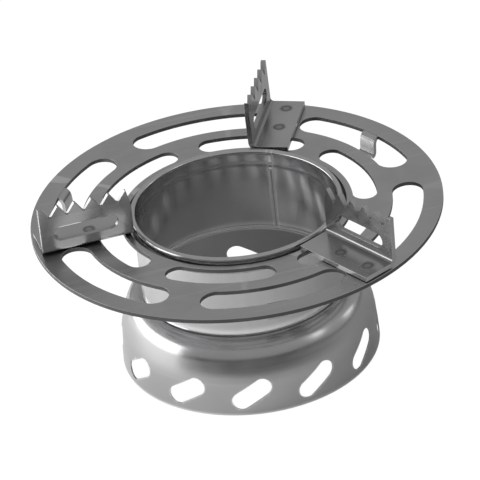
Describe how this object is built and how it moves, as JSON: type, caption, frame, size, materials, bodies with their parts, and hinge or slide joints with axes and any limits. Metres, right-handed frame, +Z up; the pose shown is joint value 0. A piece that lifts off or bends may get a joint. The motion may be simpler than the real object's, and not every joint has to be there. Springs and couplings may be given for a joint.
{
  "type": "spirit burner stand",
  "caption": "Stainless sheet-steel burner stand: flared vented base, open burner collar and a lift-off slotted ring with toothed pot supports.",
  "frame": {"origin": "on the stand's axis, at the surface that the base skirt rests on", "axes": "+Z up along the stand's axis; -Y is the front, with pot brackets at the left, the back right and the front right"},
  "size_m": [0.15, 0.15, 0.0785],
  "materials": {
    "skirt_steel": "spun, bright satin",
    "collar_steel": "bright satin",
    "plate_steel": "satin",
    "bracket_steel": "satin",
    "weld_steel": "as welded"
  },
  "bodies": {
    "base": {"base_skirt": "skirt_steel", "burner_collar": "collar_steel", "collar_seam_weld": "weld_steel", "neck_weld_bead": "weld_steel"},
    "pot_ring": {"pot_support_plate": "plate_steel", "pot_bracket_left": "bracket_steel", "pot_bracket_back": "bracket_steel", "pot_bracket_right": "bracket_steel", "spot_weld_left_inner": "weld_steel", "spot_weld_left_outer": "weld_steel", "spot_weld_back_inner": "weld_steel", "spot_weld_back_outer": "weld_steel", "spot_weld_right_inner": "weld_steel", "spot_weld_right_outer": "weld_steel"}
  },
  "joints": [
    {"name": "ring_lift", "type": "slide", "parent": "base", "child": "pot_ring", "axis": [0, 0, 1], "range_m": [0, 0.04]}
  ]
}
